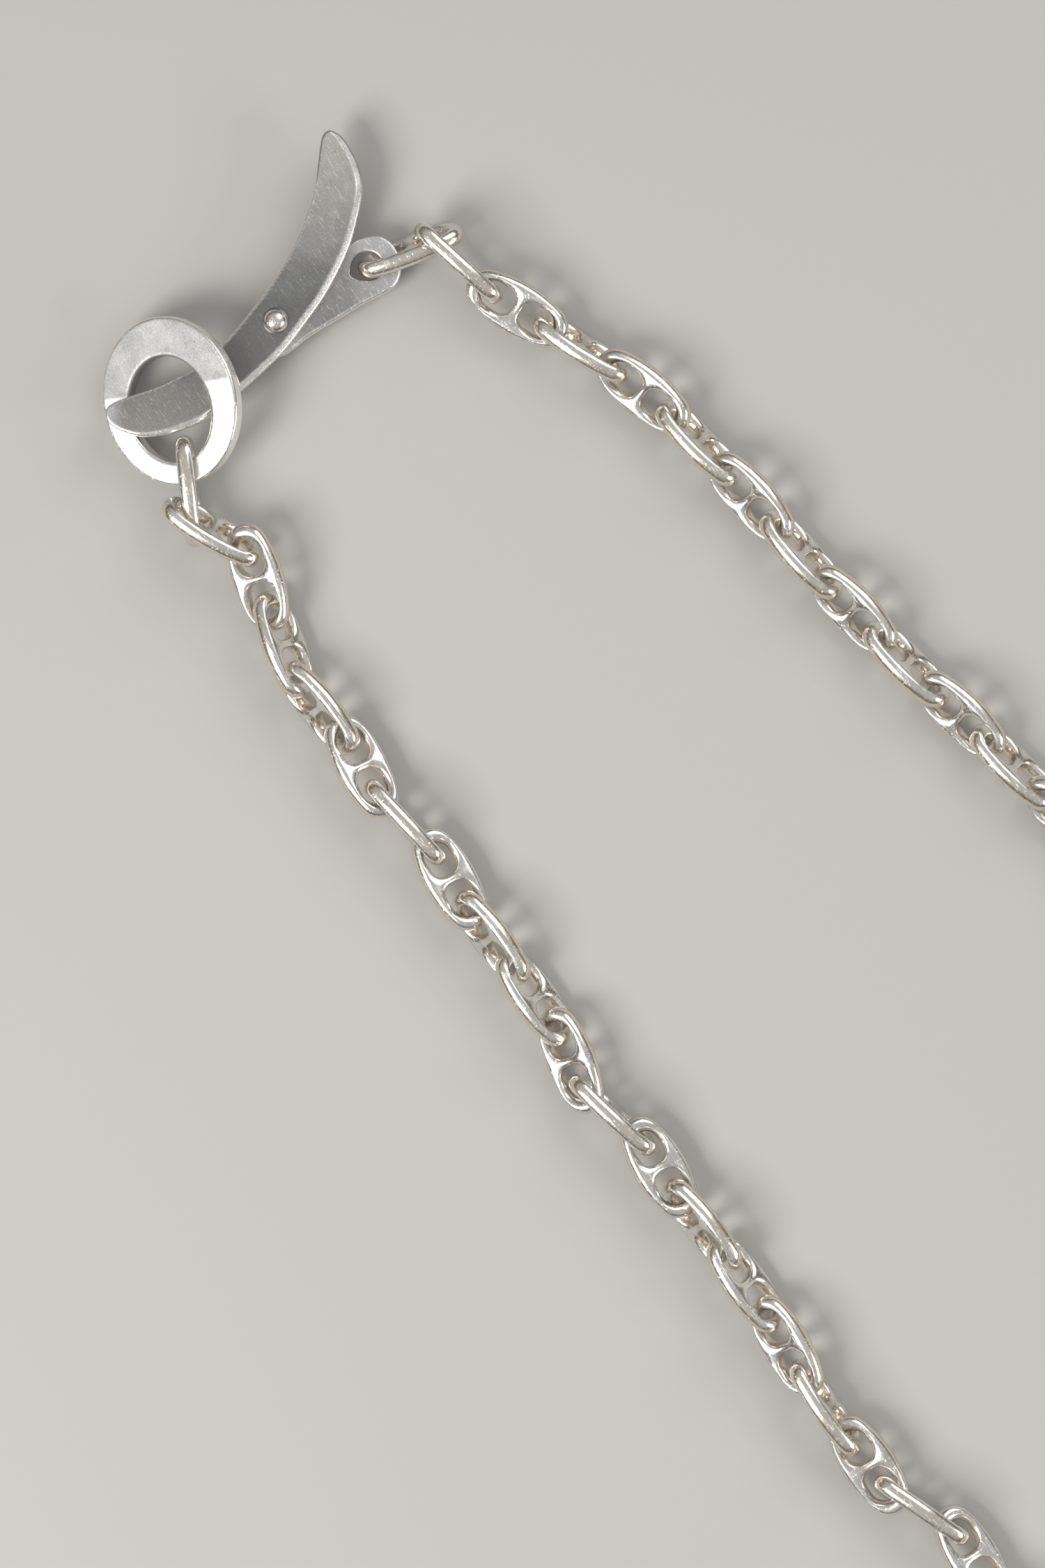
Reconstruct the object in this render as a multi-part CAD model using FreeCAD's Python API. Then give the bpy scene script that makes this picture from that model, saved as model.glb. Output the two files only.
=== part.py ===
import FreeCAD, Part
import math, os

# Studded anchor-link necklace with a crescent lever clasp and a ring, laid out
# as a long loop on a flat surface.  Millimetres, +Z up, z = 0 is the surface.
# Long direction of the loop along X, clasp at the -X end.

# ---- anchor link -------------------------------------------------------------
LINK_LENGTH = 10.64         # overall length
LINK_WIDTH = 5.13           # overall width
LINK_THICK = 1.64           # thickness across the flat faces
LINK_END_R = 2.05           # outer radius of each rounded end
LINK_END_WIRE = 1.55        # metal at the ends, in the plane of the link
LINK_SIDE_WIRE = 1.20       # metal at the long sides, in the plane of the link
LINK_EYE_END_R = 1.30       # radius of the eye's outer end
LINK_EDGE_R = 0.50          # rounding of the outer edges
EYE_EDGE_R = 0.45           # rounding of the eyes' edges
STUD_WIDTH = 0.72           # stud across the middle, along the link
STUD_THICK = 1.50           # stud across the faces
STUD_CORNER_R = 0.80        # fillet where the stud runs into the sides
STUD_EDGE_R = 0.22

# ---- clasp -------------------------------------------------------------------
PLATE_Z = 1.95              # underside of the clasp plate
PLATE_THICK = 1.00
LEVER_GAP = 0.06            # running gap between plate and lever
LEVER_THICK = 1.20
LEVER_EDGE_R = 0.22
PLATE_EDGE_R = 0.15
RIVET_R = 0.70              # rivet shank
RIVET_BORE_R = 0.75         # hole in the lever, 0.05 mm running clearance
RIVET_HEAD_R = 1.25         # domed head on the lever
RIVET_HEAD_H = 0.92
RIVET_TAIL_R = 1.05         # low peened tail below the plate
RIVET_TAIL_H = 0.40

RING_A = 7.15               # outer half axis towards the raised side
RING_B = 8.00               # outer half axis across
RING_HOLE_A = 4.30         # half axes of the hole
RING_HOLE_B = 5.05
RING_HOLE_X = -0.15         # the hole sits off centre, nearer the end link
RING_HOLE_Y = -0.75
RING_THICK = 1.45
RING_EDGE_R = 0.30

# outline of the lever, seen from above (x, y)
LEVER_PTS = [
    (-91.104, 3.031), (-90.084, 3.428), (-88.662, 3.371), (-87.211, 3.130),
    (-85.701, 2.521), (-84.477, 1.632), (-83.112, 0.152), (-81.825, -1.434),
    (-80.828, -2.971), (-79.811, -4.930), (-78.872, -6.995), (-77.976, -9.679),
    (-77.060, -12.784), (-76.638, -15.449), (-76.361, -18.090), (-76.147, -20.034),
    (-76.064, -22.046), (-76.440, -24.131), (-77.030, -26.061), (-77.745, -27.493),
    (-78.441, -28.451), (-79.442, -29.269), (-80.472, -29.903), (-81.284, -30.126),
    (-82.063, -29.967), (-82.479, -29.421), (-82.504, -28.671), (-82.243, -27.641),
    (-81.905, -26.504), (-81.354, -24.627), (-80.949, -22.726), (-80.689, -20.800),
    (-80.690, -19.011), (-80.860, -17.342), (-81.243, -15.519), (-81.800, -13.487),
    (-82.357, -11.456), (-83.045, -9.493), (-83.878, -7.505), (-84.962, -5.416),
    (-86.095, -3.617), (-87.116, -2.225), (-88.321, -0.861), (-89.536, 0.265),
    (-90.644, 1.314), (-91.220, 1.977), (-91.361, 2.567),
]

# outline of the clasp plate and of its eye
PLATE_PTS = [
    (-80.946, 0.448), (-80.245, 1.077), (-79.302, 1.368), (-78.353, 1.330),
    (-77.309, 0.977), (-76.602, 0.383), (-76.103, -0.386), (-75.958, -1.305),
    (-76.074, -2.360), (-76.387, -4.246), (-76.522, -5.775), (-76.656, -7.303),
    (-76.791, -8.832), (-76.873, -10.399), (-76.799, -11.753), (-76.833, -13.030),
    (-77.316, -14.143), (-78.293, -14.816), (-79.410, -14.899), (-80.431, -14.401),
    (-81.195, -13.439), (-81.641, -11.814), (-82.005, -9.516), (-82.069, -7.030),
    (-81.867, -4.737), (-81.675, -2.682), (-81.516, -1.008),
]
PLATE_EYE = [
    (-79.188, -3.512), (-79.812, -3.140), (-80.296, -2.463), (-80.427, -1.636),
    (-80.123, -0.882), (-79.446, -0.398), (-78.604, -0.358), (-77.874, -0.808),
    (-77.612, -1.567), (-77.810, -2.399), (-78.405, -3.106),
]

RIVET_XY = (-79.760, -11.798)

# pose of the ring: centre x, y, z, heading and rise in degrees
RING_POSE = (-79.457, -24.119, 3.717, 71.00, 26.00)

# pose of each link: centre x, y, z, heading, roll about its own length, rise
# of its leading end (degrees), in order from the clasp plate to the ring
LINK_POSES = [
    ( -77.848,    2.460,  2.478,    75.57,   -65.93,   -0.87),
    ( -74.121,    5.339,  3.720,    12.38,    95.12,   -7.75),
    ( -67.451,    7.339,  2.894,    23.48,    16.95,   -5.31),
    ( -60.934,   10.082,  2.470,    21.74,   -64.74,   -0.44),
    ( -54.182,   12.375,  2.527,    14.85,    30.47,   -0.02),
    ( -47.172,   13.777,  2.402,     8.70,   -55.88,   -0.53),
    ( -40.075,   14.709,  2.415,     6.29,    38.02,    0.22),
    ( -32.942,   15.459,  2.390,     6.06,   -51.13,   -0.54),
    ( -25.823,   16.316,  2.318,     8.04,    39.77,   -0.10),
    ( -18.735,   17.400,  2.320,     9.50,   -50.18,   -0.18),
    ( -11.810,   18.723,  2.193,     9.82,    39.14,   -0.69),
    (  -4.897,   19.870,  2.285,     9.83,   -49.95,   -0.02),
    (   2.147,   21.202,  2.294,    12.09,    40.43,    0.74),
    (   9.185,   22.366,  2.325,     7.09,   -52.28,    0.06),
    (  16.242,   23.581,  2.296,    13.02,    38.81,    0.97),
    (  23.268,   24.809,  2.340,     7.26,   -53.54,    0.17),
    (  30.327,   26.023,  2.315,    12.89,    37.21,    0.91),
    (  37.371,   27.285,  2.348,     7.79,   -54.03,    0.46),
    (  44.425,   28.543,  2.349,    12.90,    36.22,    0.82),
    (  51.474,   29.789,  2.362,     7.61,   -54.99,    0.38),
    (  58.589,   30.648,  2.517,     6.28,    36.28,    1.64),
    (  65.588,   30.074,  2.389,   -13.74,   -56.98,    0.25),
    (  72.395,   27.910,  2.592,   -22.29,    35.06,    0.92),
    (  78.290,   24.062,  2.412,   -41.82,   -58.75,    0.26),
    (  83.290,   18.958,  2.606,   -50.18,    32.90,    0.91),
    (  86.671,   12.790,  2.441,   -69.87,   -61.41,    0.23),
    (  88.700,    5.940,  2.619,   -78.10,    30.52,    0.85),
    (  88.770,   -1.091,  2.463,   -97.91,   -63.83,    0.20),
    (  87.337,   -8.081,  2.623,  -106.36,    29.07,    0.77),
    (  84.082,  -14.322,  2.470,  -125.76,   -64.79,    0.16),
    (  79.544,  -19.816,  2.605,  -134.51,    28.80,    0.61),
    (  73.754,  -23.809,  2.475,  -153.51,   -65.45,    0.29),
    (  67.180,  -26.568,  2.617,  -162.22,    27.78,    0.63),
    (  60.218,  -27.387,  2.488,   178.63,   -67.50,   -0.47),
    (  53.133,  -27.102,  2.262,   175.66,    20.98,   -1.96),
    (  46.644,  -28.453,  2.593,  -160.59,   -85.07,    0.12),
    (  40.411,  -29.929,  2.321,   177.51,   -12.89,    0.64),
    (  33.597,  -30.000,  2.521,   178.80,    70.36,    0.16),
    (  26.713,  -29.640,  2.284,   173.59,   -33.84,   -0.22),
    (  19.739,  -29.300,  2.261,   179.59,    44.57,    1.10),
    (  12.781,  -29.406,  2.409,  -177.71,   -58.32,   -1.24),
    (   6.009,  -29.419,  2.373,   175.26,    13.81,    0.26),
    (  -0.634,  -30.091,  2.594,  -168.85,    84.12,    0.60),
    (  -7.066,  -30.261,  2.199,   165.56,   -29.80,    0.15),
    ( -13.825,  -29.546,  2.188,   179.87,    44.75,    2.36),
    ( -20.873,  -29.550,  2.357,  -179.20,   -54.64,   -0.64),
    ( -27.614,  -29.414,  2.325,   173.94,    17.28,   -0.18),
    ( -34.462,  -29.771,  2.592,  -173.16,    93.81,    0.22),
    ( -41.143,  -29.920,  2.502,   171.81,    22.60,   -3.73),
    ( -47.937,  -29.945,  2.317,  -177.30,   -52.17,   -0.09),
    ( -54.781,  -29.121,  2.540,   164.13,    49.30,   -0.03),
    ( -61.236,  -27.374,  3.003,   161.13,   -22.77,    8.02),
    ( -67.302,  -28.302,  3.483,  -156.01,    60.92,    7.18),
    ( -71.629,  -27.781,  3.003,   150.02,   -91.42,   12.57),
]


def vec(x, y, z=0.0):
    return FreeCAD.Vector(x, y, z)


def side_radius(a, b, r):
    """radius of the long side arcs of an oval with half axes a, b and end radius r"""
    return ((a - r) ** 2 + b * b - r * r) / (2.0 * (b - r))


def oval_wire(a, b, r, z):
    rs = side_radius(a, b, r)
    cx = a - r
    th = math.atan2(rs - b, cx)
    ex, ey = cx + r * math.cos(th), r * math.sin(th)
    e = [
        Part.Arc(vec(ex, -ey, z), vec(a, 0, z), vec(ex, ey, z)).toShape(),
        Part.Arc(vec(ex, ey, z), vec(0, b, z), vec(-ex, ey, z)).toShape(),
        Part.Arc(vec(-ex, ey, z), vec(-a, 0, z), vec(-ex, -ey, z)).toShape(),
        Part.Arc(vec(-ex, -ey, z), vec(0, -b, z), vec(ex, -ey, z)).toShape(),
    ]
    return Part.Wire(e)


def stud_wire(a, b, r, z):
    """outline of the stud: two lines x = +-w with fillets running out to the sides"""
    w, rc = STUD_WIDTH / 2.0, STUD_CORNER_R
    rs = side_radius(a, b, r)
    yc = -(rs - b)                                   # centre of the upper side arc
    fx = w + rc
    fy = math.sqrt((rs - rc) ** 2 - fx * fx) + yc    # centre of the corner fillet
    k = rs / (rs - rc)
    tx, ty = fx * k, yc + (fy - yc) * k              # fillet meets the side arc
    grow = 0.35                                      # runs on into the side metal
    mid = vec(fx + rc * math.cos(math.radians(135)), fy + rc * math.sin(math.radians(135)), z)
    edges = []

    def corner(sx, sy):
        p0 = vec(sx * w, sy * fy, z)
        pm = vec(sx * mid.x, sy * mid.y, z)
        p1 = vec(sx * tx, sy * ty, z)
        return p0, pm, p1

    a0, am, a1 = corner(1, 1)
    b0, bm, b1 = corner(-1, 1)
    c0, cm, c1 = corner(-1, -1)
    d0, dm, d1 = corner(1, -1)
    top = b + grow
    edges.append(Part.Arc(a0, am, a1).toShape())
    edges.append(Part.LineSegment(a1, vec(a1.x, top, z)).toShape())
    edges.append(Part.LineSegment(vec(a1.x, top, z), vec(b1.x, top, z)).toShape())
    edges.append(Part.LineSegment(vec(b1.x, top, z), b1).toShape())
    edges.append(Part.Arc(b1, bm, b0).toShape())
    edges.append(Part.LineSegment(b0, c0).toShape())
    edges.append(Part.Arc(c0, cm, c1).toShape())
    edges.append(Part.LineSegment(c1, vec(c1.x, -top, z)).toShape())
    edges.append(Part.LineSegment(vec(c1.x, -top, z), vec(d1.x, -top, z)).toShape())
    edges.append(Part.LineSegment(vec(d1.x, -top, z), d1).toShape())
    edges.append(Part.Arc(d1, dm, d0).toShape())
    edges.append(Part.LineSegment(d0, a0).toShape())
    return Part.Wire(edges)


def make_link():
    a, b = LINK_LENGTH / 2.0, LINK_WIDTH / 2.0
    h = LINK_THICK / 2.0
    ai, bi = a - LINK_END_WIRE, b - LINK_SIDE_WIRE
    outer = Part.Face(oval_wire(a, b, LINK_END_R, -h)).extrude(vec(0, 0, 2 * h))
    inner = Part.Face(oval_wire(ai, bi, LINK_EYE_END_R, -h - 1)).extrude(vec(0, 0, 2 * h + 2))
    frame = outer.cut(inner)
    for radius, wants_outer in ((LINK_EDGE_R, True), (EYE_EDGE_R, False)):
        rim = []
        for e in frame.Edges:
            c = e.CenterOfMass
            is_outer = abs(c.y) > bi + 0.3 or abs(c.x) > ai + 0.5
            on_eye = abs(c.y) <= bi + 0.01 and abs(c.x) <= ai + 0.01
            if abs(abs(c.z) - h) < 1e-6 and (is_outer if wants_outer else on_eye):
                rim.append(e)
        frame = frame.makeFillet(radius, rim)
    # stud, fused into the frame
    hs = STUD_THICK / 2.0
    stud = Part.Face(stud_wire(ai, bi, LINK_EYE_END_R, -hs)).extrude(vec(0, 0, 2 * hs))
    long_edges = []
    for e in stud.Edges:
        c = e.CenterOfMass
        if abs(abs(c.z) - hs) < 1e-6 and abs(c.y) < bi + 0.02 and abs(c.x) < 1.2:
            long_edges.append(e)
    stud = stud.makeFillet(STUD_EDGE_R, long_edges)
    # keep the stud's ends inside the side metal
    clip = Part.Face(oval_wire(a - 0.35, b - 0.35, LINK_END_R - 0.35, -h)).extrude(vec(0, 0, 2 * h))
    stud = stud.common(clip)
    link = frame.fuse(stud).removeSplitter()
    return link.Solids[0] if len(link.Solids) == 1 else link


def outline_face(pts, z):
    c = Part.BSplineCurve()
    c.interpolate([vec(x, y, z) for x, y in pts], PeriodicFlag=True)
    return Part.Wire(c.toShape())


def slab(pts, z, t, holes=()):
    f = Part.Face(outline_face(pts, z))
    s = f.extrude(vec(0, 0, t))
    for hpts in holes:
        s = s.cut(Part.Face(outline_face(hpts, z - 1)).extrude(vec(0, 0, t + 2)))
    return s


def fillet_flat(s, r, zs):
    es = [e for e in s.Edges if any(abs(e.BoundBox.ZMin - z) < 1e-6 and abs(e.BoundBox.ZMax - z) < 1e-6 for z in zs)]
    return s.makeFillet(r, es)


def ring_wire(a, b, z, x=0.0, y=0.0):
    # ellipse, longer across than towards the raised side
    e = Part.Ellipse(vec(x, y + b, z), vec(x + a, y, z), vec(x, y, z)) if b > a else Part.Ellipse(vec(x + a, y, z), vec(x, y + b, z), vec(x, y, z))
    return Part.Wire(e.toShape())


def place(shape, x, y, z, heading, roll, rise):
    s = shape.copy()
    r = FreeCAD.Rotation(vec(0, 0, 1), heading)
    r = r.multiply(FreeCAD.Rotation(vec(0, 1, 0), -rise))
    r = r.multiply(FreeCAD.Rotation(vec(1, 0, 0), roll))
    s.Placement = FreeCAD.Placement(vec(x, y, z), r)
    return s


def main():
    os.makedirs("parts", exist_ok=True)
    out = {}

    # clasp plate: flat teardrop, eye for the first link, hole for the rivet
    z0 = PLATE_Z
    plate = slab(PLATE_PTS, z0, PLATE_THICK, [PLATE_EYE])
    plate = fillet_flat(plate, PLATE_EDGE_R, (z0, z0 + PLATE_THICK))
    rx, ry = RIVET_XY
    plate = plate.cut(Part.makeCylinder(RIVET_R, 4, vec(rx, ry, z0 - 1)))
    out["clasp_plate"] = plate

    # lever: crescent blade on top of the plate
    z1 = z0 + PLATE_THICK + LEVER_GAP
    lever = slab(LEVER_PTS, z1, LEVER_THICK)
    lever = fillet_flat(lever, LEVER_EDGE_R, (z1, z1 + LEVER_THICK))
    lever = lever.cut(Part.makeCylinder(RIVET_BORE_R, 4, vec(rx, ry, z1 - 1)))
    out["clasp_lever"] = lever

    # rivet: domed head above, shank, low peened tail below
    z2 = z1 + LEVER_THICK + 0.03
    rr = (RIVET_HEAD_R ** 2 + RIVET_HEAD_H ** 2) / (2 * RIVET_HEAD_H)
    am = math.asin(RIVET_HEAD_R / rr) / 2.0
    top = Part.Arc(vec(0, 0, z2 + RIVET_HEAD_H),
                   vec(rr * math.sin(am), 0, z2 + RIVET_HEAD_H - rr + rr * math.cos(am)),
                   vec(RIVET_HEAD_R, 0, z2)).toShape()
    zt = z0 - RIVET_TAIL_H
    pts = [vec(RIVET_HEAD_R, 0, z2), vec(RIVET_R, 0, z2), vec(RIVET_R, 0, z0), vec(RIVET_TAIL_R, 0, z0),
           vec(RIVET_TAIL_R - 0.2, 0, zt), vec(0, 0, zt), vec(0, 0, z2 + RIVET_HEAD_H)]
    es = [top] + [Part.LineSegment(pts[i], pts[i + 1]).toShape() for i in range(len(pts) - 1)]
    rivet = Part.Face(Part.Wire(Part.__sortEdges__(es))).revolve(vec(0, 0, 0), vec(0, 0, 1), 360)
    rivet.translate(vec(rx, ry, 0))
    if rivet.Volume < 0:
        rivet.reverse()
    out["pivot_rivet"] = rivet

    # ring: flat oval washer, one side resting on the surface and the other raised
    t = RING_THICK / 2.0
    ring = Part.Face(ring_wire(RING_A, RING_B, -t)).extrude(vec(0, 0, 2 * t))
    ring = ring.cut(Part.Face(ring_wire(RING_HOLE_A, RING_HOLE_B, -t - 1, RING_HOLE_X, RING_HOLE_Y)).extrude(vec(0, 0, 2 * t + 2)))
    ring = fillet_flat(ring, RING_EDGE_R, (-t, t))
    out["clasp_ring"] = place(ring, *RING_POSE[:3], RING_POSE[3], 0.0, RING_POSE[4])

    # chain
    link = make_link()
    for i, p in enumerate(LINK_POSES):
        out["link_%02d" % (i + 1)] = place(link, *p)

    for name, s in out.items():
        if not s.isValid():
            print("invalid", name)
        s.exportStep("parts/%s.step" % name)
    lo = [min(s.BoundBox.XMin for s in out.values()), min(s.BoundBox.YMin for s in out.values()), min(s.BoundBox.ZMin for s in out.values())]
    hi = [max(s.BoundBox.XMax for s in out.values()), max(s.BoundBox.YMax for s in out.values()), max(s.BoundBox.ZMax for s in out.values())]
    print("parts", len(out), "box", [round(v, 3) for v in lo], [round(v, 3) for v in hi],
          "link volume", round(link.Volume, 3), "faces", len(link.Faces), "total volume", round(sum(s.Volume for s in out.values()), 1))


main()
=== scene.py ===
import math
import bpy
import numpy as np
from mathutils import Vector, Matrix


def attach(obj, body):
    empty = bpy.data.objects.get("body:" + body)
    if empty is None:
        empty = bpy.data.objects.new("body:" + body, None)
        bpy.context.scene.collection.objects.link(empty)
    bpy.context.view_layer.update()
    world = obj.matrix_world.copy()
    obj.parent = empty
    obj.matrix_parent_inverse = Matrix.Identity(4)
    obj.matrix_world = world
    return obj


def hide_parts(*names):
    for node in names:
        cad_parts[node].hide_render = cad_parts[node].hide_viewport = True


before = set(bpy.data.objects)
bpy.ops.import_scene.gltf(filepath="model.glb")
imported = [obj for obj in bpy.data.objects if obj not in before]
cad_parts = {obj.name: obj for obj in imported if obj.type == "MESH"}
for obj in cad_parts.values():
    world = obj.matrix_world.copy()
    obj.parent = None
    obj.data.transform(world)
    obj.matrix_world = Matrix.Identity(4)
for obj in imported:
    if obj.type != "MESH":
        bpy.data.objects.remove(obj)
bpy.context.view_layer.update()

# ---------------------------------------------------------------------------
# numbers of the object, in millimetres, in the row frame
# ---------------------------------------------------------------------------
A, B, RE = 5.32, 2.565, 2.05            # link: half length, half width, end radius
TE, TS, RI = 1.54, 1.23, 1.30           # wire at the ends and sides, eye end radius
H, RND, RND_IN = 0.82, 0.56, 0.20                     # half thickness, edge rounding
STUD_W, STUD_H, STUD_R = 0.46, 0.75, 1.05
PLATE_Z, PLATE_T = 1.95, 1.00
LEVER_Z, LEVER_T = 3.01, 1.20
RING_A, RING_B, RING_HA, RING_HB, RING_T = 7.15, 8.00, 4.30, 5.05, 1.45
RING_HX, RING_HY = -0.15, -0.75
LEVER_PTS = [
    (-91.104, 3.031), (-90.084, 3.428), (-88.662, 3.371), (-87.211, 3.130),
    (-85.701, 2.521), (-84.477, 1.632), (-83.112, 0.152), (-81.825, -1.434),
    (-80.828, -2.971), (-79.811, -4.930), (-78.872, -6.995), (-77.976, -9.679),
    (-77.060, -12.784), (-76.638, -15.449), (-76.361, -18.090), (-76.147, -20.034),
    (-76.064, -22.046), (-76.440, -24.131), (-77.030, -26.061), (-77.745, -27.493),
    (-78.441, -28.451), (-79.442, -29.269), (-80.472, -29.903), (-81.284, -30.126),
    (-82.063, -29.967), (-82.479, -29.421), (-82.504, -28.671), (-82.243, -27.641),
    (-81.905, -26.504), (-81.354, -24.627), (-80.949, -22.726), (-80.689, -20.800),
    (-80.690, -19.011), (-80.860, -17.342), (-81.243, -15.519), (-81.800, -13.487),
    (-82.357, -11.456), (-83.045, -9.493), (-83.878, -7.505), (-84.962, -5.416),
    (-86.095, -3.617), (-87.116, -2.225), (-88.321, -0.861), (-89.536, 0.265),
    (-90.644, 1.314), (-91.220, 1.977), (-91.361, 2.567),
]
PLATE_PTS = [
    (-80.946, 0.448), (-80.245, 1.077), (-79.302, 1.368), (-78.353, 1.330),
    (-77.309, 0.977), (-76.602, 0.383), (-76.103, -0.386), (-75.958, -1.305),
    (-76.074, -2.360), (-76.387, -4.246), (-76.522, -5.775), (-76.656, -7.303),
    (-76.791, -8.832), (-76.873, -10.399), (-76.799, -11.753), (-76.833, -13.030),
    (-77.316, -14.143), (-78.293, -14.816), (-79.410, -14.899), (-80.431, -14.401),
    (-81.195, -13.439), (-81.641, -11.814), (-82.005, -9.516), (-82.069, -7.030),
    (-81.867, -4.737), (-81.675, -2.682), (-81.516, -1.008),
]
PLATE_EYE = [
    (-79.188, -3.512), (-79.812, -3.140), (-80.296, -2.463), (-80.427, -1.636),
    (-80.123, -0.882), (-79.446, -0.398), (-78.604, -0.358), (-77.874, -0.808),
    (-77.612, -1.567), (-77.810, -2.399), (-78.405, -3.106),
]
RIVET_XY = (-79.760, -11.798)
RING_POSE = (-79.457, -24.119, 3.717, 71.00, 26.00)
LINK_POSES = [
    ( -77.848,    2.460,  2.478,    75.57,   -65.93,   -0.87),
    ( -74.121,    5.339,  3.720,    12.38,    95.12,   -7.75),
    ( -67.451,    7.339,  2.894,    23.48,    16.95,   -5.31),
    ( -60.934,   10.082,  2.470,    21.74,   -64.74,   -0.44),
    ( -54.182,   12.375,  2.527,    14.85,    30.47,   -0.02),
    ( -47.172,   13.777,  2.402,     8.70,   -55.88,   -0.53),
    ( -40.075,   14.709,  2.415,     6.29,    38.02,    0.22),
    ( -32.942,   15.459,  2.390,     6.06,   -51.13,   -0.54),
    ( -25.823,   16.316,  2.318,     8.04,    39.77,   -0.10),
    ( -18.735,   17.400,  2.320,     9.50,   -50.18,   -0.18),
    ( -11.810,   18.723,  2.193,     9.82,    39.14,   -0.69),
    (  -4.897,   19.870,  2.285,     9.83,   -49.95,   -0.02),
    (   2.147,   21.202,  2.294,    12.09,    40.43,    0.74),
    (   9.185,   22.366,  2.325,     7.09,   -52.28,    0.06),
    (  16.242,   23.581,  2.296,    13.02,    38.81,    0.97),
    (  23.268,   24.809,  2.340,     7.26,   -53.54,    0.17),
    (  30.327,   26.023,  2.315,    12.89,    37.21,    0.91),
    (  37.371,   27.285,  2.348,     7.79,   -54.03,    0.46),
    (  44.425,   28.543,  2.349,    12.90,    36.22,    0.82),
    (  51.474,   29.789,  2.362,     7.61,   -54.99,    0.38),
    (  58.589,   30.648,  2.517,     6.28,    36.28,    1.64),
    (  65.588,   30.074,  2.389,   -13.74,   -56.98,    0.25),
    (  72.395,   27.910,  2.592,   -22.29,    35.06,    0.92),
    (  78.290,   24.062,  2.412,   -41.82,   -58.75,    0.26),
    (  83.290,   18.958,  2.606,   -50.18,    32.90,    0.91),
    (  86.671,   12.790,  2.441,   -69.87,   -61.41,    0.23),
    (  88.700,    5.940,  2.619,   -78.10,    30.52,    0.85),
    (  88.770,   -1.091,  2.463,   -97.91,   -63.83,    0.20),
    (  87.337,   -8.081,  2.623,  -106.36,    29.07,    0.77),
    (  84.082,  -14.322,  2.470,  -125.76,   -64.79,    0.16),
    (  79.544,  -19.816,  2.605,  -134.51,    28.80,    0.61),
    (  73.754,  -23.809,  2.475,  -153.51,   -65.45,    0.29),
    (  67.180,  -26.568,  2.617,  -162.22,    27.78,    0.63),
    (  60.218,  -27.387,  2.488,   178.63,   -67.50,   -0.47),
    (  53.133,  -27.102,  2.262,   175.66,    20.98,   -1.96),
    (  46.644,  -28.453,  2.593,  -160.59,   -85.07,    0.12),
    (  40.411,  -29.929,  2.321,   177.51,   -12.89,    0.64),
    (  33.597,  -30.000,  2.521,   178.80,    70.36,    0.16),
    (  26.713,  -29.640,  2.284,   173.59,   -33.84,   -0.22),
    (  19.739,  -29.300,  2.261,   179.59,    44.57,    1.10),
    (  12.781,  -29.406,  2.409,  -177.71,   -58.32,   -1.24),
    (   6.009,  -29.419,  2.373,   175.26,    13.81,    0.26),
    (  -0.634,  -30.091,  2.594,  -168.85,    84.12,    0.60),
    (  -7.066,  -30.261,  2.199,   165.56,   -29.80,    0.15),
    ( -13.825,  -29.546,  2.188,   179.87,    44.75,    2.36),
    ( -20.873,  -29.550,  2.357,  -179.20,   -54.64,   -0.64),
    ( -27.614,  -29.414,  2.325,   173.94,    17.28,   -0.18),
    ( -34.462,  -29.771,  2.592,  -173.16,    93.81,    0.22),
    ( -41.143,  -29.920,  2.502,   171.81,    22.60,   -3.73),
    ( -47.937,  -29.945,  2.317,  -177.30,   -52.17,   -0.09),
    ( -54.781,  -29.121,  2.540,   164.13,    49.30,   -0.03),
    ( -61.236,  -27.374,  3.003,   161.13,   -22.77,    8.02),
    ( -67.302,  -28.302,  3.483,  -156.01,    60.92,    7.18),
    ( -71.629,  -27.781,  3.003,   150.02,   -91.42,   12.57),
]
CAM_XY = (-30.874, -18.610)                          # point under the camera
CAM_TURN = math.radians(54.0000)        # turn of the view about the vertical
VIEW_H = 148.03                         # height of the view on the surface, mm

# ---------------------------------------------------------------------------
# distance fields and a surface-net mesher
# ---------------------------------------------------------------------------


def spline(P, n=8):
    P = np.asarray(P, float); N = len(P); out = []
    for i in range(N):
        p0, p1, p2, p3 = P[i - 1], P[i], P[(i + 1) % N], P[(i + 2) % N]
        for t in np.linspace(0, 1, n, endpoint=False):
            out.append(0.5 * ((2 * p1) + (-p0 + p2) * t + (2 * p0 - 5 * p1 + 4 * p2 - p3) * t * t + (-p0 + 3 * p1 - 3 * p2 + p3) * t ** 3))
    return np.array(out)


def poly_sdf(P, Q):
    d = np.full(len(P), 1e9); s = np.zeros(len(P), bool)
    for i in range(len(Q)):
        a, b = Q[i], Q[(i + 1) % len(Q)]; e = b - a; L = e @ e
        if L < 1e-14:
            continue
        w = P - a; t = np.clip(w @ e / L, 0, 1); r = w - t[:, None] * e
        d = np.minimum(d, (r * r).sum(1))
        if e[1] != 0:
            c = (a[1] > P[:, 1]) != (b[1] > P[:, 1])
            s ^= c & (P[:, 0] < a[0] + (P[:, 1] - a[1]) * e[0] / e[1])
    return np.where(s, -1, 1) * np.sqrt(d)


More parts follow.
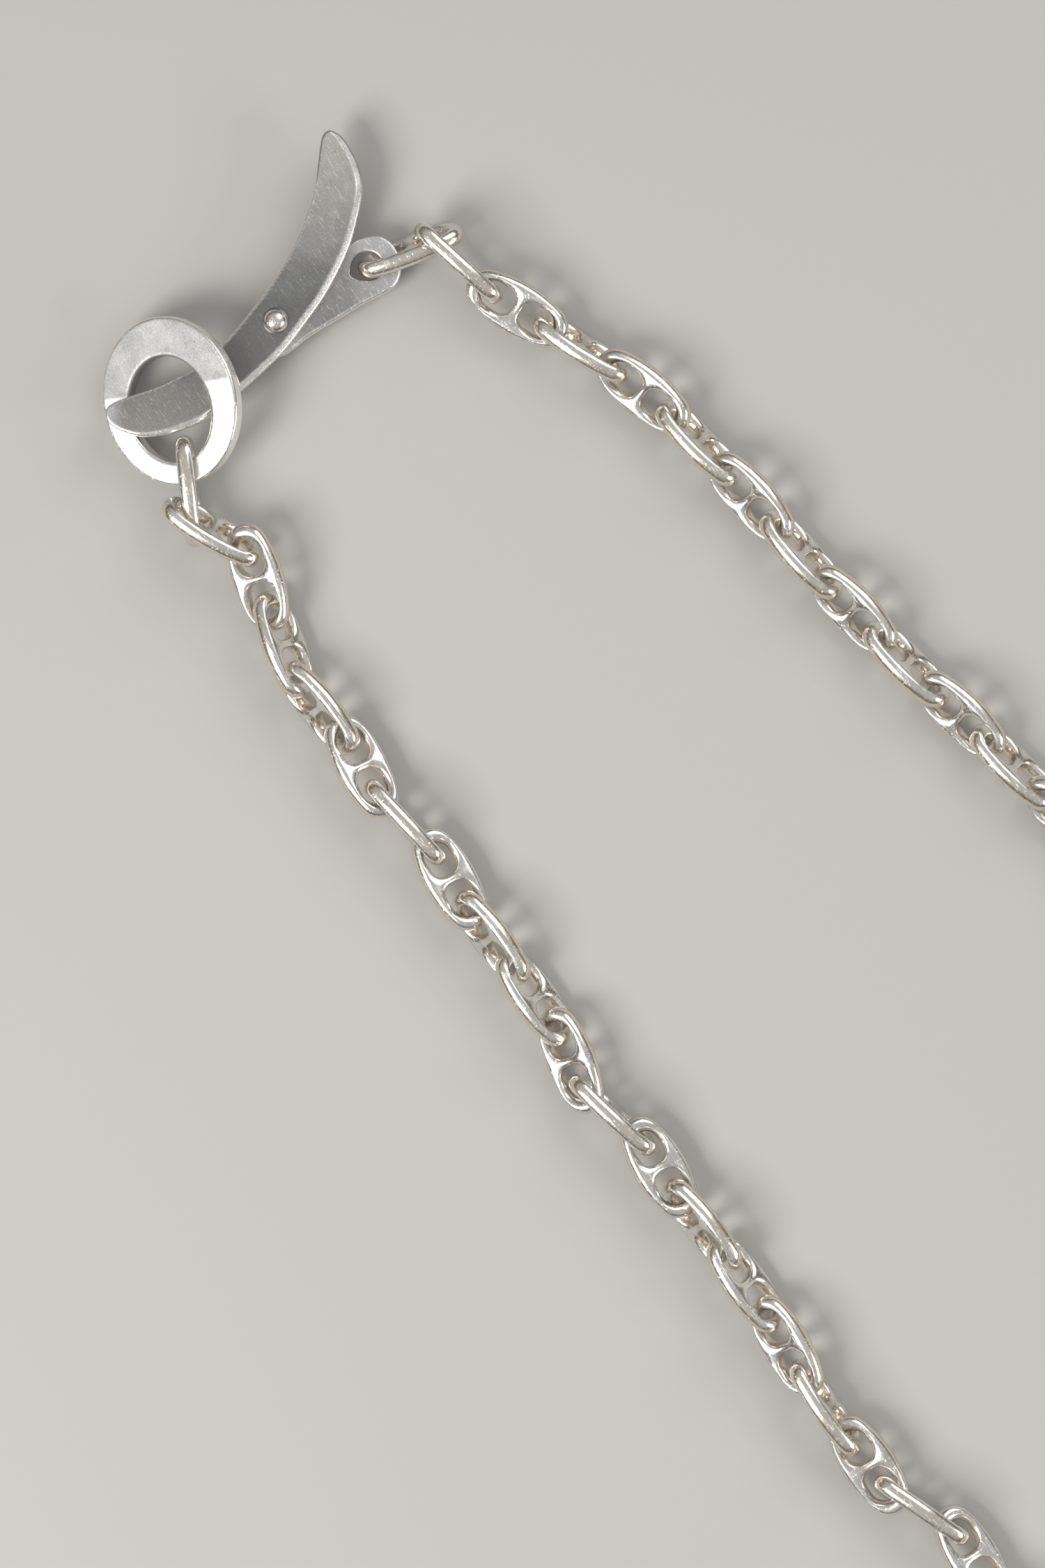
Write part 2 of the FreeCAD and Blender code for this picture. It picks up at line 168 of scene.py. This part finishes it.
class Grid2:
    """a plane distance field kept on a fine grid"""
    def __init__(self, f, lo, hi, step=0.05):
        self.lo, self.d = np.array(lo, float), step
        gx = np.arange(lo[0], hi[0] + step, step); gy = np.arange(lo[1], hi[1] + step, step)
        X, Y = np.meshgrid(gx, gy, indexing="ij")
        self.D = f(np.c_[X.ravel(), Y.ravel()]).reshape(X.shape)

    def __call__(self, xy):
        u = (xy[:, 0] - self.lo[0]) / self.d; v = (xy[:, 1] - self.lo[1]) / self.d
        u = np.clip(u, 0, self.D.shape[0] - 1.001); v = np.clip(v, 0, self.D.shape[1] - 1.001)
        i, j = u.astype(int), v.astype(int); fu, fv = u - i, v - j; D = self.D
        return D[i, j] * (1 - fu) * (1 - fv) + D[i + 1, j] * fu * (1 - fv) + D[i, j + 1] * (1 - fu) * fv + D[i + 1, j + 1] * fu * fv


def oval(xy, a, b, r):
    """four-arc oval, half axes a and b, end radius r"""
    rs = ((a - r) ** 2 + b * b - r * r) / (2 * (b - r)); k = rs - b; cx = a - r
    x, y = np.abs(xy[:, 0]), np.abs(xy[:, 1])
    side = (x * k - (y + k) * cx) < 0
    return np.where(side, np.hypot(x, y + k) - rs, np.hypot(x - cx, y) - r)


def ellipse(xy, a, b):
    k0 = np.hypot(xy[:, 0] / a, xy[:, 1] / b); k1 = np.hypot(xy[:, 0] / a ** 2, xy[:, 1] / b ** 2)
    return np.where(k0 > 1e-6, k0 * (k0 - 1) / np.maximum(k1, 1e-9), -min(a, b))


def edge_round(q, z, h, r):
    q = q + r; w = np.abs(z) - (h - r)
    return np.hypot(np.maximum(q, 0), np.maximum(w, 0)) + np.minimum(np.maximum(q, w), 0) - r


def fillet(a, b, r):
    """union of two fields with a round fillet of radius r"""
    return np.maximum(r, np.minimum(a, b)) - np.hypot(np.maximum(r - a, 0), np.maximum(r - b, 0))


def nets(f, lo, hi, h, rounds=3):
    lo, hi = np.array(lo, float), np.array(hi, float)
    n = np.ceil((hi - lo) / h).astype(int) + 1
    ax = [lo[i] + h * np.arange(n[i]) for i in range(3)]
    X, Y, Z = np.meshgrid(*ax, indexing="ij")
    V = f(np.c_[X.ravel(), Y.ravel(), Z.ravel()]).reshape(X.shape)
    V = np.where(np.abs(V) < 1e-9, 1e-9, V)
    S = V < 0
    c = tuple(k - 1 for k in n)
    acc = np.zeros(c + (3,)); cnt = np.zeros(c)
    corner = [(i, j, k) for i in (0, 1) for j in (0, 1) for k in (0, 1)]

    def sub(Wt, o):
        return Wt[o[0]:o[0] + c[0], o[1]:o[1] + c[1], o[2]:o[2] + c[2]]
    for a in corner:
        for d in range(3):
            if a[d] == 0:
                b = list(a); b[d] = 1; b = tuple(b)
                m = sub(S, a) != sub(S, b)
                va, vb = sub(V, a), sub(V, b)
                t = np.where(m, va / np.where(m, va - vb, 1), 0)
                p = np.zeros(c + (3,))
                for e in range(3):
                    p[..., e] = a[e] + (t if e == d else 0)
                acc += p * m[..., None]; cnt += m
    on = cnt > 0
    idx = np.full(c, -1); idx[on] = np.arange(on.sum())
    I = np.argwhere(on)
    v = lo + h * (I + acc[on] / cnt[on][:, None])
    quads = []
    for d in range(3):
        e, g = [k for k in range(3) if k != d]
        sl0 = [slice(None)] * 3; sl1 = [slice(None)] * 3
        sl0[d] = slice(0, -1); sl1[d] = slice(1, None)
        m = S[tuple(sl0)] != S[tuple(sl1)]
        ed = np.argwhere(m)
        ok = (ed[:, e] > 0) & (ed[:, g] > 0) & (ed[:, e] < n[e] - 1) & (ed[:, g] < n[g] - 1)
        ed = ed[ok]
        inside = S[tuple(ed.T)]
        cells = []
        for de, dg in ((1, 1), (0, 1), (0, 0), (1, 0)):
            q = ed.copy(); q[:, e] -= de; q[:, g] -= dg
            cells.append(idx[tuple(q.T)])
        q = np.stack(cells, 1)
        flip = inside if d != 1 else ~inside
        q = np.where(flip[:, None], q, q[:, ::-1])
        quads.append(q)
    Q = np.vstack(quads)
    # relax along the surface and pull back on to it
    E = np.vstack([Q[:, [0, 1]], Q[:, [1, 2]], Q[:, [2, 3]], Q[:, [3, 0]]])
    deg = np.bincount(E.ravel(), minlength=len(v)).astype(float)
    eps = 1e-3

    def pull(v):
        g = np.stack([(f(v + eps * np.eye(3)[k]) - f(v - eps * np.eye(3)[k])) / (2 * eps) for k in range(3)], 1)
        gn = np.maximum((g * g).sum(1), 0.25)
        st = f(v)[:, None] * g / gn[:, None]
        ln = np.linalg.norm(st, axis=1, keepdims=True)
        return v - st * np.minimum(1, 0.5 * h / np.maximum(ln, 1e-9))
    for k in range(rounds):
        a2 = np.zeros_like(v)
        for c0 in range(3):
            a2[:, c0] = (np.bincount(E[:, 0], weights=v[E[:, 1], c0], minlength=len(v)) + np.bincount(E[:, 1], weights=v[E[:, 0], c0], minlength=len(v))) / deg
        v = 0.5 * v + 0.5 * a2
        v = pull(pull(v))
    return v, Q


def rot(heading, roll, rise):
    p, r, q = math.radians(heading), math.radians(roll), math.radians(rise)
    Rz = np.array([[math.cos(p), -math.sin(p), 0], [math.sin(p), math.cos(p), 0], [0, 0, 1]])
    Ry = np.array([[math.cos(q), 0, -math.sin(q)], [0, 1, 0], [math.sin(q), 0, math.cos(q)]])
    Rx = np.array([[1, 0, 0], [0, math.cos(r), -math.sin(r)], [0, math.sin(r), math.cos(r)]])
    return Rz @ Ry @ Rx


def to_mesh(name, v, Q, attrs=None):
    me = bpy.data.meshes.new(name)
    me.vertices.add(len(v)); me.loops.add(Q.size); me.polygons.add(len(Q))
    me.vertices.foreach_set("co", np.ascontiguousarray(v, np.float32).ravel())
    me.loops.foreach_set("vertex_index", Q.astype(np.int32).ravel())
    me.polygons.foreach_set("loop_start", np.arange(0, Q.size, Q.shape[1], dtype=np.int32))
    me.update(calc_edges=True)
    me.polygons.foreach_set("use_smooth", np.ones(len(Q), bool))
    for k, arr in (attrs or {}).items():
        a = me.attributes.new(k, "FLOAT", "POINT"); a.data.foreach_set("value", np.asarray(arr, np.float32))
    me.validate(); me.update()
    return me


def add(name, me, mat, body, nodes):
    ob = bpy.data.objects.new(name, me)
    bpy.context.scene.collection.objects.link(ob)
    me.materials.append(mat)
    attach(ob, body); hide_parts(*nodes)
    return ob

# ---------------------------------------------------------------------------
# materials
# ---------------------------------------------------------------------------


class NT:
    def __init__(self, name):
        self.m = bpy.data.materials.new(name); self.m.use_nodes = True
        self.t = self.m.node_tree; self.t.nodes.clear()
        self.out = self.n("ShaderNodeOutputMaterial"); self.b = self.n("ShaderNodeBsdfPrincipled")
        self.t.links.new(self.b.outputs[0], self.out.inputs[0])

    def n(self, kind, **kw):
        nd = self.t.nodes.new(kind)
        for k, v in kw.items():
            setattr(nd, k, v)
        return nd

    def put(self, s, v):
        if hasattr(v, "is_output") or isinstance(v, bpy.types.NodeSocket):
            self.t.links.new(v, s)
        else:
            s.default_value = v

    def math(self, op, a, b=None, clamp=False):
        nd = self.n("ShaderNodeMath", operation=op, use_clamp=clamp); self.put(nd.inputs[0], a)
        if b is not None:
            self.put(nd.inputs[1], b)
        return nd.outputs[0]

    def noise(self, vec, scale, detail=2.0, rough=0.5, dist=0.0):
        nd = self.n("ShaderNodeTexNoise"); self.put(nd.inputs["Vector"], vec)
        nd.inputs["Scale"].default_value = scale; nd.inputs["Detail"].default_value = detail
        nd.inputs["Roughness"].default_value = rough; nd.inputs["Distortion"].default_value = dist
        return nd.outputs[0]

    def map(self, vec, scale=(1, 1, 1), rotz=0.0, rotx=0.0, roty=0.0):
        nd = self.n("ShaderNodeMapping"); self.put(nd.inputs["Vector"], vec)
        nd.inputs["Scale"].default_value = scale; nd.inputs["Rotation"].default_value = (rotx, roty, rotz)
        return nd.outputs[0]

    def ramp(self, fac, stops, interp="LINEAR"):
        nd = self.n("ShaderNodeValToRGB"); self.put(nd.inputs[0], fac); cr = nd.color_ramp; cr.interpolation = interp
        while len(cr.elements) < len(stops):
            cr.elements.new(0.5)
        for e, (p, c) in zip(cr.elements, stops):
            e.position = p; e.color = (c, c, c, 1) if not isinstance(c, (tuple, list)) else (*c, 1)
        return nd.outputs[0]

    def mix(self, fac, a, b):
        nd = self.n("ShaderNodeMix", data_type="RGBA"); self.put(nd.inputs[0], fac)
        for s, v in ((nd.inputs[6], a), (nd.inputs[7], b)):
            self.put(s, v if not isinstance(v, tuple) else (*v, 1))
        return nd.outputs[2]

    def bump(self, height, dist, strength=1.0, normal=None):
        nd = self.n("ShaderNodeBump"); self.put(nd.inputs["Height"], height)
        nd.inputs["Distance"].default_value = dist; nd.inputs["Strength"].default_value = strength
        if normal is not None:
            self.put(nd.inputs["Normal"], normal)
        return nd.outputs[0]


def silver(name, bright, dark, rough, satin=0.0, brush=None, pits=1.0, attr=None, wall=None, wall_reflection_tint=(0.62, 0.545, 0.46), tone=None, along=None):
    """silver with wear: fine scratches in three directions, pits, soft grime, optional satin brushing; optional
    painted light: a painted reflection ramp across the picture, a brighter, smoother patch by the tone attribute (a
    painted highlight on the ring), painted shade on marked rims, and a painted warm reflection on steep walls
    """
    N = NT(name); tc = N.n("ShaderNodeTexCoord").outputs["Object"]
    P = N.map(tc, (1000, 1000, 1000))                       # millimetres
    blot = N.noise(P, 0.55, 3, 0.55)
    fine = N.noise(P, 9.0, 4, 0.62)
    s1 = N.noise(N.map(P, (0.7, 14, 6), rotz=0.5), 1.0, 2, 0.5)
    s2 = N.noise(N.map(P, (15, 0.8, 6), rotz=-0.4, rotx=0.3), 1.0, 2, 0.5)
    scr = N.math("MAXIMUM", N.ramp(s1, [(0.64, 0.0), (0.70, 1.0)]), N.ramp(s2, [(0.66, 0.0), (0.72, 1.0)]))
    pit = N.ramp(N.noise(P, 4.2, 1, 0.4), [(0.68, 0.0), (0.76, 1.0)])
    col = N.mix(N.ramp(blot, [(0.35, 0.0), (0.68, 1.0)]), dark, bright)
    col = N.mix(N.math("MULTIPLY", pit, 0.30 * pits), col, tuple(0.55 * c for c in dark))
    r = N.math("ADD", rough, N.math("MULTIPLY", N.ramp(fine, [(0.35, 0.0), (0.7, 1.0)]), 0.10 + 0.10 * satin))
    r = N.math("ADD", r, N.math("MULTIPLY", scr, 0.10))
    h = N.math("SUBTRACT", N.math("MULTIPLY", fine, 0.25), N.math("MULTIPLY", scr, 0.5))
    h = N.math("SUBTRACT", h, N.math("MULTIPLY", pit, 0.9 * pits))
    if brush is not None:
        br = N.noise(N.map(P, (0.7, 10, 10), rotz=brush), 1.0, 3, 0.6)
        gr = N.noise(P, 7.5, 4, 0.8)
        h = N.math("ADD", h, N.math("MULTIPLY", br, 0.55 * satin))
        h = N.math("ADD", h, N.math("MULTIPLY", gr, 0.5 * satin))
        col = N.mix(N.math("MULTIPLY", N.ramp(gr, [(0.50, 0.0), (0.66, 1.0)]), 0.42 * satin), col, tuple(min(1, 1.35 * c) for c in bright))
        col = N.mix(N.math("MULTIPLY", N.ramp(gr, [(0.34, 1.0), (0.50, 0.0)]), 0.40 * satin), col, tuple(0.55 * c for c in dark))
    if along:
        # painted reflection: a tone that changes along the picture's upward direction, mm from the rivet, light and
        # dark bands standing in for the reflected surroundings
        cx, cy, stops, lo_, hi_, way = along
        dt = N.n("ShaderNodeVectorMath", operation="DOT_PRODUCT")
        off = N.n("ShaderNodeVectorMath", operation="SUBTRACT"); N.put(off.inputs[0], P); off.inputs[1].default_value = (cx, cy, 0)
        N.put(dt.inputs[0], off.outputs[0]); dt.inputs[1].default_value = (math.cos(CAM_TURN + way), math.sin(CAM_TURN + way), 0)
        u = N.math("DIVIDE", N.math("SUBTRACT", dt.outputs["Value"], lo_), hi_ - lo_, clamp=True)
        u = N.math("ADD", u, N.math("MULTIPLY", N.math("SUBTRACT", blot, 0.5), 0.10))
        tn = N.ramp(u, stops, "EASE")
        mx = N.n("ShaderNodeMix", data_type="RGBA", blend_type="MULTIPLY"); mx.inputs[0].default_value = 1.0
        N.put(mx.inputs[6], col); N.put(mx.inputs[7], tn); col = mx.outputs[2]
    if tone:
        tf = N.n("ShaderNodeAttribute", attribute_name="tone").outputs["Fac"]
        col = N.mix(tf, col, tone[0]); r = N.math("SUBTRACT", r, N.math("MULTIPLY", tf, tone[1]))
    # painted reflection: steep walls are tinted warm beige, standing in for the reflected surroundings
    if wall:
        wn = N.noise(P, 1.6, 2, 0.5)
        wf = N.math("MULTIPLY", N.n("ShaderNodeAttribute", attribute_name="wall").outputs["Fac"], N.math("MULTIPLY", N.math("ADD", 0.45, wn), wall), clamp=True)
        col = N.mix(wf, col, wall_reflection_tint)
    if attr:
        e = N.n("ShaderNodeAttribute", attribute_name=attr).outputs["Fac"]     # 1 on the polished edge
        r = N.math("SUBTRACT", r, N.math("MULTIPLY", e, rough * 0.62))
        col = N.mix(e, col, (0.97, 0.95, 0.92))
        # painted shade: darker where the rim shade attribute is set
        col = N.mix(N.n("ShaderNodeAttribute", attribute_name="painted_rim_shade").outputs["Fac"], col, (0.40, 0.39, 0.37))
    N.put(N.b.inputs["Base Color"], col); N.put(N.b.inputs["Roughness"], r)
    N.b.inputs["Metallic"].default_value = 1.0
    N.put(N.b.inputs["Normal"], N.bump(h, 0.000012, 1.0))
    return N.m


# links: the warm beige on their steep walls is a painted reflection
M_LINK = silver("link_silver", (0.90, 0.88, 0.85), (0.74, 0.715, 0.67), 0.16, wall=0.92, wall_reflection_tint=(0.84, 0.75, 0.63))
# the lever's face gets a painted reflection ramp: dark in the middle, lighter towards its ends, lightest at the upper
# tip
M_LEVER = silver("lever_satin", (0.98, 0.98, 0.965), (0.90, 0.90, 0.89), 0.33, satin=1.0, brush=-0.9, pits=0.4, attr="edge", tone=((0.97, 0.96, 0.94), 0.16),
                 along=(RIVET_XY[0], RIVET_XY[1], [(0.0, (0.43, 0.405, 0.375)), (0.12, (0.37, 0.355, 0.335)), (0.26, (0.27, 0.265, 0.26)), (0.42, (0.25, 0.248, 0.244)), (0.52, (0.30, 0.30, 0.295)), (0.66, (0.46, 0.45, 0.43)), (0.80, (0.58, 0.56, 0.52)), (1.0, (0.68, 0.655, 0.605))], -11.0, 18.0, math.pi / 2))
# the plate's face gets a painted reflection ramp as well
M_PLATE = silver("plate_satin", (0.97, 0.95, 0.92), (0.82, 0.80, 0.77), 0.31, satin=0.8, brush=0.5, pits=0.9, attr="edge",
                 along=(RIVET_XY[0], RIVET_XY[1], [(0.0, 0.62), (0.30, 0.40), (0.50, 0.45), (0.75, 0.72), (1.0, 0.88)], 0.0, 14.0, 0.30))
# the ring's bright tone colour is a painted highlight on its lower part
M_RING = silver("ring_satin", (0.57, 0.57, 0.565), (0.44, 0.44, 0.435), 0.48, satin=1.0, brush=1.1, pits=0.3, attr="edge", tone=((0.98, 0.975, 0.96), 0.20))
M_RIVET = silver("rivet_polish", (0.93, 0.89, 0.86), (0.84, 0.79, 0.75), 0.13)

# ---------------------------------------------------------------------------
# pieces
# ---------------------------------------------------------------------------


def link_field(p):
    xy = p[:, :2]
    out = oval(xy, A, B, RE); inn = -oval(xy, A - TE, B - TS, RI)
    stud = np.maximum(np.abs(xy[:, 0]) - STUD_W, np.abs(xy[:, 1]) - B)
    eye = fillet(inn, stud, STUD_R)
    az = np.abs(p[:, 2])
    # the eyes' walls lean a little, wider at the faces than half way through
    eye = eye + 0.09 * np.clip(az / H, 0, 1)
    w = np.clip(inn / 1.25, 0, 1); w = w * w * (3 - 2 * w)
    dip = (H - STUD_H) * w + 0.17 * np.clip(1 + np.maximum(out, eye) / 0.75, 0, 1) ** 2      # the stud sits a little lower than the faces
    u = np.clip((np.abs(p[:, 0]) - 1.0) / 1.3, 0, 1)                      # the eye's edge is crisp by the stud and worn round at the hooks
    return np.maximum(edge_round(out, az + dip, H, RND), edge_round(eye, az + dip, H, RND_IN + 0.34 * u * u * (3 - 2 * u)))


step = 0.15
lv, lq = nets(link_field, (-A - 0.3, -B - 0.3, -H - 0.3), (A + 0.3, B + 0.3, H + 0.3), step)
g = np.stack([(link_field(lv + 0.01 * np.eye(3)[k]) - link_field(lv - 0.01 * np.eye(3)[k])) for k in range(3)], 1)
nz = np.abs(g[:, 2]) / np.maximum(np.linalg.norm(g, axis=1), 1e-9)
# steep faces are marked for the painted warm reflection tint on the walls, a little stronger in the eyes
wall = np.clip((0.72 - nz) / 0.50, 0, 1)
eye = np.clip((oval(lv[:, :2], A - TE, B - TS, RI) < 0.35).astype(float), 0, 1)
wall = wall * (0.80 + 0.20 * eye)
for i, pz in enumerate(LINK_POSES):
    R = rot(*pz[3:])
    v = (lv @ R.T + np.array(pz[:3])) * 0.001
    nm = "link_%02d" % (i + 1)
    add("look_" + nm, to_mesh("look_" + nm, v, lq, {"wall": wall}), M_LINK, nm, [nm])


def slab_piece(name, outline, holes, round_holes, z, t, bevel, drop, edge_r, h, bdir):
    """flat plate with a sloping polished bevel along its upper edge"""
    O = spline(outline)
    hs = [spline(q) for q in holes]
    lo, hi = O.min(0) - 0.5, O.max(0) + 0.5
    go = Grid2(lambda q: poly_sdf(q, O), lo, hi)
    gh = [Grid2(lambda q, c=c: poly_sdf(q, c), lo, hi) for c in hs]

    def plane(xy):
        d = go(xy)
        for g in gh:
            d = np.maximum(d, -g(xy))
        for (cx, cy, r) in round_holes:
            d = np.maximum(d, r - np.hypot(xy[:, 0] - cx, xy[:, 1] - cy))
        return d

    def wide(xy):
        gx = (go(xy + [0.15, 0]) - go(xy - [0.15, 0])) / 0.3; gy = (go(xy + [0, 0.15]) - go(xy - [0, 0.15])) / 0.3
        return 0.30 + 0.70 * np.clip(0.15 + 1.2 * (gx * bdir[0] + gy * bdir[1]), 0, 1)

    def f(p):
        d = go(p[:, :2]); q = plane(p[:, :2])
        s = edge_round(q, p[:, 2] - (z + t / 2), t / 2, edge_r)
        # the bevel: a plane through the rim, dropping outwards, broad on the outer curve
        sl = math.atan2(drop, bevel)
        b = (p[:, 2] - (z + t)) * math.cos(sl) + (d + bevel * wide(p[:, :2])) * math.sin(sl)
        return np.maximum(s, b) + 0.0 * q
    v, q = nets(f, (*lo, z - 0.3), (*hi, z + t + 0.3), h)
    e = go(v[:, :2]); top = v[:, 2] > z + 0.3 * t
    edge = np.where(top, np.clip((e + bevel * wide(v[:, :2]) + 0.06) / 0.12, 0, 1), 1.0)
    edge = np.where(v[:, 2] < z + 0.02, 0.0, edge)
    return v, q, edge


rx, ry = RIVET_XY
hs = 0.16
v, q, e = slab_piece("lever", LEVER_PTS, [], [(rx, ry, 0.75)], LEVER_Z, LEVER_T, 0.58, 0.30, 0.16, hs, (0.766, 0.643))
up_ = -math.sin(CAM_TURN) * v[:, 0] + math.cos(CAM_TURN) * v[:, 1]; right_ = math.cos(CAM_TURN) * v[:, 0] + math.sin(CAM_TURN) * v[:, 1]
painted_rim_shade = np.clip(e, 0, 1) * np.clip(1 - (up_.max() - up_ - 3.4) / 1.6, 0, 1)   # painted shade: the bevel is less polished and painted darker towards the upper tip
e = e * (1 - painted_rim_shade)
tone = np.clip(1 - (right_ - right_.min()) / 1.9, 0, 1) ** 1.5    # brighter and smoother towards the lower tip
add("look_lever", to_mesh("look_lever", v * 0.001, q, {"edge": e, "tone": tone, "painted_rim_shade": 0.9 * painted_rim_shade}), M_LEVER, "lever", ["clasp_lever"])
v, q, e = slab_piece("plate", PLATE_PTS, [PLATE_EYE], [(rx, ry, 0.70)], PLATE_Z, PLATE_T, 0.26, 0.14, 0.14, hs, (0.985, -0.17))
add("look_plate", to_mesh("look_plate", v * 0.001, q, {"edge": e}), M_PLATE, "clasp", ["clasp_plate"])


def ring_plan(xy):
    return np.maximum(ellipse(xy, RING_A, RING_B), -ellipse(xy - np.array([RING_HX, RING_HY]), RING_HA, RING_HB))


def ring_field(p):
    return edge_round(ring_plan(p[:, :2]), p[:, 2], RING_T / 2, 0.28)


v, q = nets(ring_field, (-RING_A - 0.4, -RING_B - 0.4, -RING_T / 2 - 0.4), (RING_A + 0.4, RING_B + 0.4, RING_T / 2 + 0.4), hs)
ed = ring_plan(v[:, :2])
e = np.clip((ed + 0.30) / 0.10, 0, 1)
inner = ellipse(v[:, :2], RING_A, RING_B) < -ellipse(v[:, :2] - np.array([RING_HX, RING_HY]), RING_HA, RING_HB)
painted_rim_shade = e * inner * np.clip((v[:, 1] + 1.0) / 1.5, 0, 1)          # painted shade: the hole's upper rim stays satin and is painted darker
e = e * (1 - painted_rim_shade)
# painted highlight: below a line across the ring the face is painted bright and smoother, standing in for a change of
# slope that the mesh does not have; above it the face stays satin
up = (v[:, 0] * math.sin(math.radians(17)) * 0.9 + v[:, 1] * math.cos(math.radians(17))) - 0.12 * v[:, 0]
tone = np.clip((1.25 - up) / 0.35, 0, 1)
v = v @ rot(RING_POSE[3], 0.0, RING_POSE[4]).T + np.array(RING_POSE[:3])
add("look_ring", to_mesh("look_ring", v * 0.001, q, {"edge": e, "tone": tone, "painted_rim_shade": 0.6 * painted_rim_shade}), M_RING, "ring", ["clasp_ring"])


def lathe(name, prof, n, cx, cy):
    prof = np.array(prof); k = len(prof); vs = []; faces = []
    for i in range(n):
        a = 2 * math.pi * i / n
        for r, z in prof[1:-1]:
            vs.append((cx + r * math.cos(a), cy + r * math.sin(a), z))
    m = k - 2
    top = len(vs); vs.append((cx, cy, prof[0][1])); bot = len(vs); vs.append((cx, cy, prof[-1][1]))
    for i in range(n):
        j = (i + 1) % n
        for s in range(m - 1):
            faces.append((i * m + s, i * m + s + 1, j * m + s + 1, j * m + s))
        faces.append((top, i * m, j * m)); faces.append((bot, j * m + m - 1, i * m + m - 1))
    me = bpy.data.meshes.new(name); me.from_pydata([tuple(c * 0.001 for c in p) for p in vs], [], faces)
    for p in me.polygons:
        p.use_smooth = True
    me.update()
    return me


z2 = LEVER_Z + LEVER_T + 0.03; hr, hh = 1.25, 0.92; rr = (hr * hr + hh * hh) / (2 * hh)
prof = [(0, z2 + hh)]
for k in range(1, 13):
    a = math.asin(hr / rr) * k / 12; prof.append((rr * math.sin(a), z2 + hh - rr + rr * math.cos(a)))
prof += [(hr - 0.03, z2 + 0.0), (0.72, z2), (0.70, z2 - 0.02), (0.70, PLATE_Z + 0.5), (0.70, PLATE_Z + 0.02), (1.02, PLATE_Z), (1.05, PLATE_Z - 0.03),
         (0.98, PLATE_Z - 0.22), (0.85, PLATE_Z - 0.36), (0.6, PLATE_Z - 0.40), (0, PLATE_Z - 0.40)]
add("look_rivet", lathe("look_rivet", prof, 64, rx, ry), M_RIVET, "clasp", ["pivot_rivet"])

# ---------------------------------------------------------------------------
# floor, light, camera
# ---------------------------------------------------------------------------
me = bpy.data.meshes.new("floor"); s = 3.0
me.from_pydata([(-s, -s, -0.00005), (s, -s, -0.00005), (s, s, -0.00005), (-s, s, -0.00005)], [], [(0, 1, 2, 3)]); me.update()
floor = bpy.data.objects.new("floor", me); bpy.context.scene.collection.objects.link(floor)
N = NT("floor_pale"); N.b.inputs["Base Color"].default_value = (0.50, 0.485, 0.46, 1); N.b.inputs["Roughness"].default_value = 0.9
me.materials.append(N.m)

W = bpy.data.worlds.new("studio"); bpy.context.scene.world = W; W.use_nodes = True
wt = W.node_tree; bg = wt.nodes["Background"]
wc = wt.nodes.new("ShaderNodeTexCoord"); sep = wt.nodes.new("ShaderNodeSeparateXYZ"); wt.links.new(wc.outputs["Generated"], sep.inputs[0])
ramp = wt.nodes.new("ShaderNodeValToRGB"); wt.links.new(sep.outputs["Z"], ramp.inputs[0])
cr = ramp.color_ramp
for p, c in ((0.0, (0.09, 0.06, 0.04)), (0.22, (0.16, 0.14, 0.12)), (0.55, (0.40, 0.40, 0.40)), (0.90, (0.50, 0.50, 0.505)), (1.0, (0.52, 0.52, 0.525))):
    if p in (0.0, 1.0):
        el = cr.elements[0 if p == 0.0 else -1]
    else:
        el = cr.elements.new(p)
    el.position = p; el.color = (*c, 1)
wt.links.new(ramp.outputs[0], bg.inputs[0]); bg.inputs[1].default_value = 1.0


def photo(x, y, z=0.0):
    """a direction or offset given right, up and out of the picture, in the row frame"""
    c, s_ = math.cos(CAM_TURN), math.sin(CAM_TURN)
    return Vector((c * x - s_ * y, s_ * x + c * y, z))


ctr = Vector((CAM_XY[0] * 0.001, CAM_XY[1] * 0.001, 0.0025))


def area(name, off, size, power, col=(1, 1, 1)):
    L = bpy.data.lights.new(name, "AREA"); L.shape = "RECTANGLE"; L.size, L.size_y = size; L.energy = power; L.color = col
    o = bpy.data.objects.new(name, L); bpy.context.scene.collection.objects.link(o)
    o.location = ctr + photo(*off); d = ctr - o.location
    o.rotation_mode = "QUATERNION"; o.rotation_quaternion = d.to_track_quat("-Z", "Y")
    return o


area("key", (-0.29, -0.19, 0.34), (0.20, 0.24), 1.75, (1.0, 0.99, 0.97))
area("side", (0.43, -0.15, 0.19), (0.28, 0.14), 0.70, (1.0, 0.985, 0.96))
area("fill", (0.22, 0.30, 0.30), (0.30, 0.30), 0.60, (0.97, 0.985, 1.0))

D = 0.42
cam = bpy.data.cameras.new("cam"); co = bpy.data.objects.new("cam", cam); bpy.context.scene.collection.objects.link(co)
cam.sensor_fit = "AUTO"; cam.sensor_width = 36.0; cam.lens = 36.0 * D / (VIEW_H * 0.001)
cam.clip_start, cam.clip_end = 0.01, 20.0
co.location = ctr + Vector((0, 0, D)); co.rotation_euler = (0, 0, CAM_TURN)
bpy.context.scene.camera = co
bpy.context.scene.view_settings.view_transform = "Standard"
